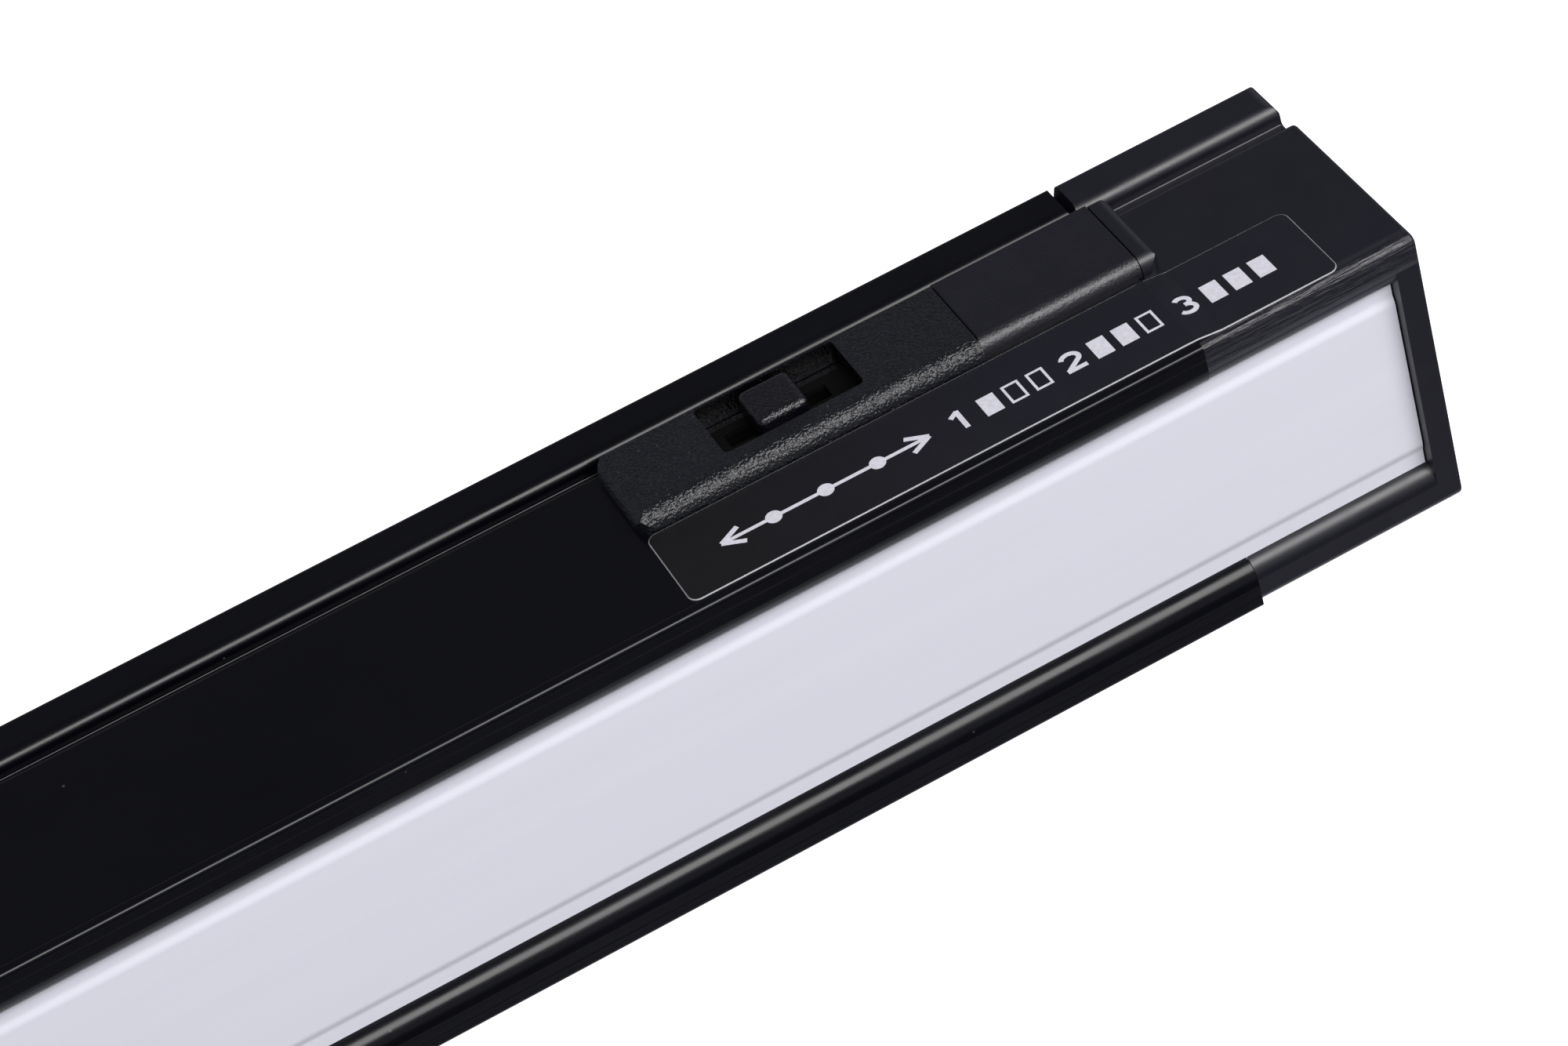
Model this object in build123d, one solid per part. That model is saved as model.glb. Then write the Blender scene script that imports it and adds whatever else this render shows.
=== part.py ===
from build123d import *
import os

# Surface-mounted linear LED batten with a three-position slide switch on one side face.
#
# Frame, in millimetres: X runs along the batten, with its middle at X = 0 and the switch near the +X end.
# The flat mounting back is the plane Y = 0 and the light leaves towards -Y.  +Z is the side face that carries
# the switch, so the batten lies on its far side face with the switch uppermost.

# ---------------------------------------------------------------- driving dimensions
overall_length = 600.0          # end face to end face
section_height = 42.0           # across the batten, side face to side face
section_depth = 37.0            # mounting back to front lips

# housing extrusion
wall = 1.8                      # side walls
back_wall = 1.8
web = 1.5                       # shelf that carries the LED board
web_from_front = 12.2           # front lips down to the LED board's seat
bead_depth = 6.1                # rear bead that the mounting clips snap over
bead_drop = 0.05                # the bead stands this much lower than the side face
relief = 0.6                    # the bead's ends slope back this much from the seam
relief_height = 2.0
bead_back_radius = 0.8
bead_flank_radius = 1.5
groove_width = 3.0              # clip groove between bead and side face
groove_depth = 2.4
groove_wall = 1.2               # wall left round the clip groove
groove_edge_radius = 0.4
front_edge_radius = 0.6
pinstripe_width = 0.35          # fine decorative groove beside each front edge
pinstripe_depth = 0.2
pinstripe_inset = 1.1
lip_pinstripe_inset = 1.8
port_radius = 3.3               # screw port for the end cap screws
port_bore = 1.65
port_slit = 1.1

# front lips and diffuser
lip_reach = 6.7                 # side face to the lip's inner edge
lip_round = 3.1                 # large rounding of the lip's inner edge
flange_depth = 2.25             # front lips down to the diffuser's flange
flange_thickness = 1.2
flange_width = 3.5              # how far the flange runs under the lip
plateau_rise = 0.3              # the diffuser's middle stands this much above its flange
plateau_inset = 9.2             # side face to the middle of the diffuser's shoulder
shoulder_run = 1.0
shoulder_foot_radius = 1.6
shoulder_crest_radius = 1.9
ledge = 1.5                     # ledge behind the diffuser's flange
slide_clearance = 0.15          # between pieces that slide into each other

# end caps
cap_length = 28.1
cap_inset = 0.4                 # the cap stands this much inside the housing's faces
cap_wall = 2.0
cap_end_wall = 3.2
cap_edge_radius = 1.2
cap_bead_drop = 0.15
bead_end_round = 1.6            # rounding of the bead's crest at the batten's end
cap_flank_radius = 1.8
cap_groove_edge_radius = 1.2
cap_rim_radius = 0.5
seam = 0.12                     # gap between cap and housing
spigot_length = 8.0
spigot_wall = 1.5
cap_screw_shank = 1.6
cap_screw_head = 3.3
cap_screw_head_height = 1.9
cap_screw_grip = 11.0           # thread inside the housing

# switch block, cover strip and pad on the switch side face, distances from the +X end face
block_far_edge = 93.2
block_length = 44.7
block_height = 2.5
block_back = 9.15               # mounting back to the block's back edge
block_front = 22.45             # mounting back to the block's foot
block_roof = 1.3
block_round = 2.0
block_end_round = 2.1
block_back_round = 0.25         # back ridge of block, cover and pad
block_skirt = 1.3
cover_height = 2.35
cover_back = 8.75
cover_front = 21.95
cover_roof = 1.2
cover_round = 1.9
pad_length = 2.5
pad_setback = 0.6               # from the cap's seam to the pad
pad_height = 2.4
pad_back = 9.1
pad_front = 22.0
pad_round = 1.7
pad_corner = 1.5
pad_end_round = 1.4
joint_gap = 0.1                 # between block, cover and pad

# slide switch
switch_from_end = 71.75         # end face to the switch's middle position
window_length = 18.1            # opening in the block's roof
window_width = 9.2
window_corner = 0.7
window_shift = 0.7              # the window's middle past the switch's, towards the batten's end
window_axis = 14.15              # mounting back to the middle of the switch window
knob_size = 6.5
knob_proud = 0.6
knob_round = 0.85
knob_lift = 0.3                 # knob above the side face
travel = 4.8                    # each way from the middle
notch_width = 7.2               # open-ended slot in the housing's side wall
notch_end_gap = 6.0             # block's far edge to the notch's closed end
foot_thickness = 1.2            # feet that hook under the housing's wall
foot_front = 2.0
neck_wall = 0.9
body_length = 20.0
body_height = 4.5
body_wall = 0.7
body_top_drop = 0.1
stem_length = 3.0
stem_width = 1.8
stem_reach = 3.6                # knob's underside down into the switch
slider_clearance = 0.3          # round everything that slides with the knob
bridge_length = 4.4
bridge_thickness = 0.4
pcb_thickness = 1.0
switch_pcb_length = 30.0
terminal_pitch = 4.0
terminal_side = 0.6
pcb_screw_radius = 0.8
pcb_screw_length = 3.2

# label strip
label_far_edge = 92.8
label_near_edge = 9.4
label_top = 22.7                # mounting back to the label's upper edge
label_bottom = 35.5
label_thickness = 0.18
label_corner = 1.2
label_ramp = 3.2                # where the label bridges the step down to the cap

# light engine
led_board_width = 26.0
led_board_thickness = 1.2
led_board_end_gap = 9.0         # end face to the board's end
led_length = 3.5
led_width = 2.8
led_height = 0.7
led_pitch = 14.0
led_row_offset = 2.6
led_end_margin = 10.0
board_screw_count = 6
board_screw_shank = 1.3
board_screw_head = 2.7
board_screw_head_height = 1.6
board_screw_row = 9.5
connector_length = 8.0
connector_width = 6.0
connector_height = 4.2
connector_from_middle = 186.0
lead_hole_radius = 4.0
lead_hole_from_middle = 172.0
bush_wall = 1.0
bush_lip = 1.1

# driver
tray_start = -172.0
tray_length = 322.0
tray_width = 33.0
tray_wall = 0.8
driver_standoff = 1.6
driver_board_thickness = 1.6
driver_end_gap = 4.0

# supply end
grommet_hole_radius = 5.6
grommet_bore = 3.6
grommet_lip = 1.6
grommet_lip_thickness = 1.5
cable_axis = 13.5               # mounting back to the cable's axis
terminal_from_end = 46.0
terminal_length = 14.0
terminal_width = 24.0
terminal_depth = 11.0
earth_from_end = 92.0
earth_screw_radius = 1.9
earth_crimp = 13.0              # screw to the mouth of the tag's crimp
clamp_from_end = 17.0
clamp_width = 6.0
clamp_bar = 2.4
clamp_screw_span = 15.0
lead_radius = 0.65

# ---------------------------------------------------------------- derived planes and stations
end_x = overall_length / 2
housing_end = end_x - cap_length - seam
side_z = section_height / 2
front_y = -section_depth
inner_z = side_z - wall
bead_z = side_z - bead_drop
groove_front = bead_depth + groove_width
groove_z = side_z - groove_depth
narrow_z = groove_z - groove_wall - 0.4
step_y = -(groove_front + groove_wall)
seat_y = front_y + web_from_front
web_back_y = seat_y + web
flange_front_y = front_y + flange_depth
flange_back_y = flange_front_y + flange_thickness
slot_back_y = flange_back_y + slide_clearance
ledge_back_y = slot_back_y + ledge
lip_z = side_z - lip_reach
flange_z = lip_z + flange_width
slot_z = flange_z + slide_clearance
port_y = -(back_wall + port_radius - 0.2)
port_z = narrow_z - port_radius + 0.2
cap_side_z = side_z - cap_inset
cap_front_y = front_y + cap_inset
cap_end_inner = end_x - cap_end_wall
block_x0 = end_x - block_far_edge
block_x1 = block_x0 + block_length
cover_x0 = block_x1 + joint_gap
pad_x0 = end_x - cap_length + pad_setback
pad_x1 = pad_x0 + pad_length
cover_x1 = pad_x0 - joint_gap
switch_x = end_x - switch_from_end
switch_y = -window_axis
notch_x0 = block_x0 + notch_end_gap
notch_y0 = switch_y - notch_width / 2
notch_y1 = switch_y + notch_width / 2
neck_y0 = notch_y0 + slide_clearance
neck_y1 = notch_y1 - slide_clearance
foot_top = inner_z - slide_clearance
foot_bottom = foot_top - foot_thickness
foot_y0 = notch_y0 - foot_front
foot_y1 = step_y - slide_clearance
body_top = side_z - body_top_drop
body_bottom = body_top - body_height
body_width = notch_width - 2 * slide_clearance - 2 * neck_wall - 0.1
switch_pcb_bottom = body_bottom - pcb_thickness
led_board_front_y = seat_y - led_board_thickness
board_half = end_x - led_board_end_gap
tray_back_y = port_y - port_radius - 0.1
tray_x1 = tray_start + tray_length
driver_back_y = tray_back_y - tray_wall - driver_standoff
driver_front_y = driver_back_y - driver_board_thickness
driver_x0 = tray_start + driver_end_gap
driver_x1 = tray_x1 - driver_end_gap
driver_width = tray_width - 2 * tray_wall - 1.0
component_room = driver_front_y - web_back_y

os.makedirs("parts", exist_ok=True)


# ---------------------------------------------------------------- helpers
def box(x0, x1, y0, y1, z0, z1):
    """A box between two corners."""
    centre = ((x0 + x1) / 2, (y0 + y1) / 2, (z0 + z1) / 2)
    return Pos(*centre) * Box(abs(x1 - x0), abs(y1 - y0), abs(z1 - z0))


def rod(start, direction, radius, length):
    """A round bar from a start point along a direction."""
    plane = Plane(origin=start, z_dir=direction)
    return plane * Cylinder(radius, length, align=(Align.CENTER, Align.CENTER, Align.MIN))


def cone(start, radius0, radius1, length):
    """A cone along +X from a start point."""
    plane = Plane(origin=start, z_dir=(1, 0, 0))
    return plane * Cone(radius0, radius1, length, align=(Align.CENTER, Align.CENTER, Align.MIN))


def mirrored(points):
    """Close an outline of (y, z, radius) corners by mirroring it in the plane Z = 0."""
    return points + [(y, -z, r) for y, z, r in reversed(points)]


def outline(points):
    """A face from (y, z, radius) corners, in order round the outline."""
    corners = [(y, z) for y, z, r in points]
    radii = [r for y, z, r in points]
    return make_face(FilletPolyline(*corners, radius=radii, close=True))


def rectangle(y0, y1, z0, z1):
    """A plain rectangular face in the cross-section's plane."""
    return Pos((y0 + y1) / 2, (z0 + z1) / 2) * Rectangle(abs(y1 - y0), abs(z1 - z0))


def prism(section, x0, x1):
    """Carry a cross-section along X."""
    return Pos(x0, 0, 0) * extrude(Plane.YZ * section, x1 - x0)


def rounded_block(x0, x1, back, front, base, top, front_round, end_rounds, corners):
    """A block with a rounded front ridge, rounded end ridges and rounded corners in plan.

    end_rounds are the radii of the ridges at x0 and x1.  corners are the plan radii, in the order
    (x0, back), (x1, back), (x1, front), (x0, front).
    """
    across = outline([(-back, base, 0), (-back, top, block_back_round), (-front, top, front_round),
                      (-front, base, 0)])
    along = outline([(x0, base, 0), (x0, top, end_rounds[0]), (x1, top, end_rounds[1]), (x1, base, 0)])
    plan = outline([(x0, -back, corners[0]), (x1, -back, corners[1]), (x1, -front, corners[2]),
                    (x0, -front, corners[3])])
    body = prism(across, x0, x1)
    body &= Pos(0, -back, 0) * extrude(Plane.XZ * along, front - back)
    return body & Pos(0, 0, base) * extrude(plan, top - base)


def save(solid, name):
    """Write one node."""
    export_step(solid, f"parts/{name}.step")


# ---------------------------------------------------------------- cross-sections shared by housing and caps
def outer_section(face_z, front, top_of_bead, flank_radius, edge_radius, corner_radius):
    """The batten's outside: bead, clip groove, side face and front, mirrored top to bottom."""
    half = [
        (0, top_of_bead, bead_back_radius),
        (-bead_depth, top_of_bead, flank_radius),
        (-bead_depth, face_z - groove_depth, 0.3),
        (-groove_front, face_z - groove_depth, 0.3),
        (-groove_front, face_z, edge_radius),
        (front, face_z, corner_radius),
    ]
    return outline(mirrored(half))


def light_window(front, inner_edge, rounding):
    """The opening between the lips, flaring forward round each lip's inner edge."""
    mouth = inner_edge + rounding
    window = rectangle(front - 1, flange_front_y, -mouth, mouth)
    for side in (-1, 1):
        window -= Pos(front + rounding, side * mouth) * Circle(rounding)
    return window


def screw_port(side):
    """One screw port's boss, in the corner behind the clip groove."""
    return Pos(port_y, side * port_z) * Circle(port_radius)


def flange_slot():
    """The groove that the diffuser's flanges slide into."""
    return rectangle(flange_front_y, slot_back_y, -slot_z, slot_z)


# ---------------------------------------------------------------- housing
def housing_section():
    """Closed rear chamber for the driver, web for the LED board, lips for the diffuser."""
    section = outer_section(side_z, front_y, bead_z, bead_flank_radius, groove_edge_radius, front_edge_radius)
    section -= rectangle(-back_wall, step_y, -narrow_z, narrow_z)
    section -= rectangle(step_y, web_back_y, -inner_z, inner_z)
    section -= rectangle(seat_y, ledge_back_y, -inner_z, inner_z)
    section -= rectangle(ledge_back_y, slot_back_y, -lip_z - 1, lip_z + 1)
    section -= flange_slot()
    section -= light_window(front_y, lip_z, lip_round)
    for side in (-1, 1):
        stripe_y = front_y + pinstripe_inset
        section -= rectangle(stripe_y, stripe_y + pinstripe_width, side * (side_z - pinstripe_depth), side * side_z)
        stripe_z = side * (side_z - lip_pinstripe_inset)
        section -= rectangle(front_y, front_y + pinstripe_depth, stripe_z - side * pinstripe_width, stripe_z)
        boss = screw_port(side) - Pos(port_y, side * port_z) * Circle(port_bore)
        reach = port_radius + 1
        slit = Pos(port_y, side * port_z) * Rot(0, 0, 180 + 45 * -side) * Pos(reach / 2, 0)
        boss -= slit * Rectangle(reach, port_slit)
        section += boss
    return section


def housing_profile():
    """The extrusion, with its switch notch, screw holes, lead hole and earth hole."""
    body = prism(housing_section(), -housing_end, housing_end)
    body -= box(notch_x0, housing_end + 1, notch_y0, notch_y1, inner_z - 1, side_z + 1)
    for x, z in board_screw_places():
        body -= rod((x, seat_y - 1, z), (0, 1, 0), board_screw_shank + 0.05, web + 2)
    body -= rod((lead_hole_from_middle, seat_y - 1, 0), (0, 1, 0), lead_hole_radius, web + 2)
    body -= rod((-end_x + earth_from_end, 1, 0), (0, -1, 0), earth_screw_radius + 0.05, back_wall + 2)
    for side in (-1, 1):
        body -= bead_relief(housing_end, 1, side, bead_z)
        body -= bead_relief(-housing_end, -1, side, bead_z)
    return body


def bead_relief(x, away, side, top):
    """Wedge that slopes a bead's end face back from the seam at x, widest at the bead's crest.

    away is +1 or -1, the way from the piece towards the seam.
    """
    crest = side * (top + 0.2)
    foot = side * (top - relief_height)
    beyond = x + away * 0.3
    wedge = make_face(Polyline((x - away * relief, crest), (beyond, crest), (beyond, foot), (x, foot), close=True))
    return Pos(0, 1, 0) * extrude(Plane.XZ * wedge, bead_depth + 1.5)


# ---------------------------------------------------------------- diffuser
def diffuser():
    """Opal strip with a raised middle and a thin flange along each edge."""
    half = section_height / 2 - plateau_inset
    shoulder_out = half + shoulder_run / 2
    shoulder_in = half - shoulder_run / 2
    top_y = flange_front_y - plateau_rise
    front_side = [(flange_front_y, flange_z, 0.2), (flange_front_y, shoulder_out, shoulder_foot_radius),
                  (top_y, shoulder_in, shoulder_crest_radius)]
    back_side = [
        (flange_back_y - plateau_rise, shoulder_in - 0.3, 0.4),
        (flange_back_y, shoulder_out - 0.3, 0.4),
        (flange_back_y, flange_z, 0.2),
    ]
    lower = [(y, -z, r) for y, z, r in reversed(front_side)]
    upper = [(y, -z, r) for y, z, r in reversed(back_side)]
    section = outline(front_side + lower + upper + back_side)
    reach = cap_end_inner - slide_clearance
    return prism(section, -reach, reach)


# ---------------------------------------------------------------- end caps
def cap_shell():
    """Moulded hood over the housing's end, open towards -X, with a solid end wall at +X."""
    seam_x = end_x - cap_length
    outside = outer_section(cap_side_z, cap_front_y, side_z - cap_bead_drop, cap_flank_radius,
                            cap_groove_edge_radius, cap_edge_radius)
    shell = prism(outside, seam_x, end_x)
    rim = [e for e in shell.edges() if abs(e.center().X - end_x) < 0.01]
    shell = fillet(rim, cap_rim_radius)
    room = rectangle(-cap_wall, step_y, -(narrow_z - cap_inset), narrow_z - cap_inset)
    room += rectangle(step_y, web_back_y, -(cap_side_z - cap_wall), cap_side_z - cap_wall)
    room += rectangle(seat_y, ledge_back_y, -(cap_side_z - cap_wall), cap_side_z - cap_wall)
    room += rectangle(ledge_back_y, slot_back_y, -lip_z - 1, lip_z + 1)
    room += flange_slot()
    room += light_window(cap_front_y, lip_z, lip_round - cap_inset)
    shell -= prism(room, seam_x - 1, cap_end_inner)
    for side in (-1, 1):
        shell += prism(screw_port(side), seam_x, cap_end_inner + 0.1)
        shell -= rod((seam_x - 1, port_y, side * port_z), (1, 0, 0), cap_screw_shank + 0.15, cap_length + 2)
        sink = (end_x - cap_screw_head_height, port_y, side * port_z)
        shell -= cone(sink, cap_screw_shank + 0.15, cap_screw_head + 0.15, cap_screw_head_height)
        shell -= bead_relief(seam_x, -1, side, side_z - cap_bead_drop)
        shell -= bead_end_corner(side)
    return shell


def bead_end_corner(side):
    """What rounds the bead's crest off at the batten's end, between the crest and the end face."""
    x = end_x - bead_end_round
    z = side * (side_z - cap_bead_drop - bead_end_round)
    corner = box(x, end_x + 1, -bead_depth - 0.4, 1, z, z + side * (bead_end_round + 1))
    return corner - rod((x, 2, z), (0, -1, 0), bead_end_round, section_depth)


def spigot_tongues():
    """Tongues that locate the cap inside the housing's rear chamber."""
    root = end_x - cap_length
    tip = root - spigot_length
    wide = inner_z - slide_clearance
    bottom = box(tip, root, web_back_y + 1, step_y - 1, -wide, -wide + spigot_wall)
    bottom += box(root - 0.01, root + 3, web_back_y + 1, step_y - 1, -cap_side_z + cap_wall - 0.5,
                  -wide + spigot_wall)
    top = box(tip, root, web_back_y + 0.4, foot_y0 - 0.4, wide - spigot_wall, wide)
    top += box(root - 0.01, root + 3, web_back_y + 0.4, foot_y0 - 0.4, wide - spigot_wall,
               cap_side_z - cap_wall + 0.5)
    back_y = -back_wall - slide_clearance
    reach = port_z - port_radius - 1.5
    back = box(tip, root, back_y - spigot_wall, back_y, -reach, reach)
    back += box(root - 0.01, root + 3, back_y - spigot_wall, -cap_wall + 0.5, -reach, reach)
    return [bottom, top, back]


def cover_pad():
    """Raised pad on the switch-side cap that continues the cover strip and closes the notch."""
    base = cap_side_z - 0.5
    top = side_z + pad_height
    return rounded_block(pad_x0, pad_x1, pad_back, pad_front, base, top, pad_round,
                         (0.2, pad_end_round), (0, 0.3, pad_corner, 0))


def end_cap_switch_end():
    """Cap at the +X end, with the pad."""
    cap = cap_shell()
    for tongue in spigot_tongues():
        cap += tongue
    return cap + cover_pad()


def end_cap_supply_end():
    """Cap at the -X end, with the cable entry and the seat of the cable clamp."""
    cap = cap_shell()
    for tongue in spigot_tongues():
        cap += tongue
    cap -= rod((cap_end_inner - 1, -cable_axis, 0), (1, 0, 0), grommet_hole_radius, cap_end_wall + 2)
    seat_top = -cable_axis + grommet_bore
    clamp_x = end_x - clamp_from_end
    for side in (-1, 1):
        z = side * clamp_screw_span / 2
        post = box(clamp_x - clamp_width / 2, clamp_x + clamp_width / 2, seat_top, -cap_wall + 0.1, z - 2.6, z + 2.6)
        cap += post - rod((clamp_x, seat_top - 1, z), (0, 1, 0), 1.15, 7)
    cap += box(clamp_x - clamp_width / 2, clamp_x + clamp_width / 2, seat_top, -cap_wall + 0.1, -3, 3)
    return mirror(cap, about=Plane.YZ)


def end_cap_screws():
    """Two long countersunk screws in each cap, into the housing's screw ports."""
    screws = []
    tip = housing_end - cap_screw_grip
    for side in (-1, 1):
        screw = rod((tip, port_y, side * port_z), (1, 0, 0), cap_screw_shank, end_x - 0.1 - tip)
        head = (end_x - 0.1 - cap_screw_head_height, port_y, side * port_z)
        screw += cone(head, cap_screw_shank, cap_screw_head, cap_screw_head_height)
        screw -= cross_recess((end_x - 0.1, port_y, side * port_z), (1, 0, 0), 3.6, 0.8, 1.3)
        screws.append(screw)
        screws.append(mirror(screw, about=Plane.YZ))
    return Compound(children=screws)


def cross_recess(top, direction, length, width, depth):
    """Cross-shaped driver recess cut into a screw's head at the point top."""
    plane = Plane(origin=top, z_dir=direction)
    cross = Box(length, width, 2 * depth) + Box(width, length, 2 * depth)
    return plane * cross


# ---------------------------------------------------------------- switch block and cover strip
def switch_housing():
    """Block that frames the switch: roof with its window, skirt, neck through the notch and hooked feet."""
    top = side_z + block_height
    block = rounded_block(block_x0, block_x1, block_back, block_front, side_z, top, block_round,
                          (block_end_round, 0.25), (block_end_round, 0, 0, block_end_round))
    ceiling = top - block_roof
    hollow_y0 = -block_front + block_skirt + 0.4
    block -= box(notch_x0 + 1, block_x1 - block_skirt, hollow_y0, neck_y1 - neck_wall, side_z - 1, ceiling)
    neck_x1 = block_x1 - 1.2
    neck = box(notch_x0 + slide_clearance, neck_x1, neck_y0, neck_y1, foot_bottom, ceiling + 0.1)
    feet = box(notch_x0 + slide_clearance, neck_x1, foot_y0, foot_y1, foot_bottom, foot_top)
    block += neck
    block += feet
    body_room = box(switch_x - body_length / 2 - 0.05, switch_x + body_length / 2 + 0.05,
                    switch_y - body_width / 2 - 0.05, switch_y + body_width / 2 + 0.05,
                    foot_bottom - 1, body_top + 0.05)
    block -= body_room
    window_x = switch_x + window_shift
    window = box(window_x - window_length / 2, window_x + window_length / 2,
                 switch_y - window_width / 2, switch_y + window_width / 2, body_top, top + 1)
    block -= fillet(window.edges().filter_by(Axis.Z), window_corner)
    for x in switch_screw_xs():
        post = rod((x, switch_y - 0.6, foot_bottom + 0.05), (0, 0, -1), 1.7, foot_bottom + 0.05 - body_bottom)
        block += post
        block -= rod((x, switch_y - 0.6, body_bottom - 1), (0, 0, 1), pcb_screw_radius + 0.04, pcb_screw_length + 0.4)
    return block


def switch_screw_xs():
    """Stations of the two screws that hold the switch's board to the block."""
    return [switch_x - body_length / 2 - 2.0, switch_x + body_length / 2 + 2.0]


def raceway_cover():
    """Cover strip between the block and the cap: hollow roof, ribs through the notch, hooked foot."""
    top = side_z + cover_height
    cover = rounded_block(cover_x0, cover_x1, cover_back, cover_front, side_z, top, cover_round,
                          (0.3, 0.2), (0, 0, 0, 0))
    ceiling = top - cover_roof
    cover -= box(cover_x0 + 1.2, cover_x1 - 1.2, -cover_front + 1.5, neck_y1 - neck_wall, side_z - 1, ceiling)
    rib_x0 = cover_x0 + 0.3
    rib_x1 = housing_end - 0.3
    cover += box(rib_x0, rib_x1, neck_y0, neck_y0 + neck_wall, foot_bottom, ceiling + 0.1)
    cover += box(rib_x0, rib_x1, neck_y1 - neck_wall, neck_y1, foot_bottom, ceiling + 0.1)
    cover += box(rib_x0, rib_x1, foot_y0, neck_y0 + 0.1, foot_bottom, foot_top)
    cover += box(rib_x0, rib_x1, neck_y1 - 0.1, foot_y1, foot_bottom, foot_top)
    return cover


# ---------------------------------------------------------------- slide switch
def switch_knob():
    """Square knob with its stem."""
    half = knob_size / 2
    bottom = side_z + knob_lift
    top = side_z + block_height + knob_proud
    knob = box(switch_x - half, switch_x + half, switch_y - half, switch_y + half, bottom, top)
    knob = fillet(knob.edges().filter_by(Axis.Z), knob_round)
    knob = fillet(knob.edges().group_by(Axis.Z)[-1], knob_round)
    stem = box(switch_x - stem_length / 2, switch_x + stem_length / 2,
               switch_y - stem_width / 2, switch_y + stem_width / 2, bottom - stem_reach, bottom + 0.1)
    return knob + stem


def switch_body():
    """Open-bottomed shell of the slide switch, slotted for the stem."""
    half = body_length / 2
    shell = box(switch_x - half, switch_x + half, switch_y - body_width / 2, switch_y + body_width / 2,
                body_bottom, body_top)
    shell -= box(switch_x - half + body_wall, switch_x + half - body_wall, switch_y - body_width / 2 + body_wall,
                 switch_y + body_width / 2 - body_wall, body_bottom - 1, body_top - body_wall)
    slot_half = travel + stem_length / 2 + slider_clearance
    shell -= box(switch_x - slot_half, switch_x + slot_half, switch_y - stem_width / 2 - slider_clearance,
                 switch_y + stem_width / 2 + slider_clearance, body_top - 2, body_top + 1)
    return shell


def switch_contact_bridge():
    """Brass bridge carried under the stem, which joins neighbouring terminals."""
    z1 = side_z + knob_lift - stem_reach
    width = body_width - 2 * body_wall - 2 * slider_clearance
    return box(switch_x - bridge_length / 2, switch_x + bridge_length / 2, switch_y - width / 2,
               switch_y + width / 2, z1 - bridge_thickness, z1)


def switch_terminals():
    """Four flat terminals standing through the switch's board."""
    pins = []
    for i in range(4):
        x = switch_x + (i - 1.5) * terminal_pitch
        pin = box(x - terminal_side / 2, x + terminal_side / 2, switch_y - terminal_side / 2,
                  switch_y + terminal_side / 2, switch_pcb_bottom - 0.8, body_bottom + 0.3)
        pins.append(pin)
    return Compound(children=pins)


def switch_board():
    """Small board that the switch is soldered to."""
    half = switch_pcb_length / 2
    board = box(switch_x - half, switch_x + half, foot_y0 + 0.4, foot_y1 - 0.1, switch_pcb_bottom, body_bottom)
    for x in switch_screw_xs():
        board -= rod((x, switch_y - 0.6, switch_pcb_bottom - 1), (0, 0, 1), pcb_screw_radius + 0.1, pcb_thickness + 2)
    for i in range(4):
        x = switch_x + (i - 1.5) * terminal_pitch
        hole = terminal_side / 2 + 0.05
        board -= box(x - hole, x + hole, switch_y - hole, switch_y + hole, switch_pcb_bottom - 1, body_bottom + 1)
    return board


def switch_board_screws():
    """Two small screws from below into the block's posts."""
    screws = []
    for x in switch_screw_xs():
        head = rod((x, switch_y - 0.6, switch_pcb_bottom), (0, 0, -1), 1.5, 0.9)
        shank = rod((x, switch_y - 0.6, switch_pcb_bottom - 0.1), (0, 0, 1), pcb_screw_radius, pcb_screw_length)
        recess = cross_recess((x, switch_y - 0.6, switch_pcb_bottom - 0.9), (0, 0, -1), 1.8, 0.4, 0.5)
        screws.append(head + shank - recess)
    return Compound(children=screws)


# ---------------------------------------------------------------- label
def label():
    """Thin strip lying on the housing and bridging the step down to the cap."""
    x0 = end_x - label_far_edge
    x1 = end_x - label_near_edge
    ramp0 = housing_end
    ramp1 = ramp0 + label_ramp
    lower = [(x0, side_z), (ramp0, side_z), (ramp1, cap_side_z), (x1, cap_side_z)]
    upper = [(x, z + label_thickness) for x, z in reversed(lower)]
    side_view = make_face(Polyline(*(lower + upper), close=True))
    strip = Pos(0, -label_top, 0) * extrude(Plane.XZ * side_view, label_bottom - label_top)
    plan = box(x0, x1, -label_bottom, -label_top, cap_side_z - 1, side_z + 1)
    return strip & fillet(plan.edges().filter_by(Axis.Z), label_corner)


# ---------------------------------------------------------------- light engine
def board_screw_places():
    """Stations of the screws that hold the LED board down."""
    span = housing_end - 14
    places = []
    for i in range(board_screw_count):
        x = -span + 2 * span * i / (board_screw_count - 1)
        places.append((x, board_screw_row if i % 2 else -board_screw_row))
    return places


def led_board():
    """Aluminium-cored board on the web, with clearance holes and the lead hole."""
    board = box(-board_half, board_half, led_board_front_y, seat_y, -led_board_width / 2, led_board_width / 2)
    for x, z in board_screw_places():
        board -= rod((x, led_board_front_y - 1, z), (0, 1, 0), board_screw_shank + 0.2, led_board_thickness + 2)
    hole = lead_hole_radius + bush_lip + 0.2
    return board - rod((lead_hole_from_middle, led_board_front_y - 1, 0), (0, 1, 0), hole, led_board_thickness + 2)


def led_board_screws():
    """Pan-headed screws through the board into the web."""
    screws = []
    for x, z in board_screw_places():
        head_y = led_board_front_y - board_screw_head_height
        screw = rod((x, head_y, z), (0, 1, 0), board_screw_head, board_screw_head_height)
        screw += rod((x, led_board_front_y - 0.1, z), (0, 1, 0), board_screw_shank, led_board_thickness + web + 1.5)
        screw -= cross_recess((x, head_y, z), (0, -1, 0), 3.0, 0.7, 0.9)
        screws.append(screw)
    return Compound(children=screws)


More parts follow.
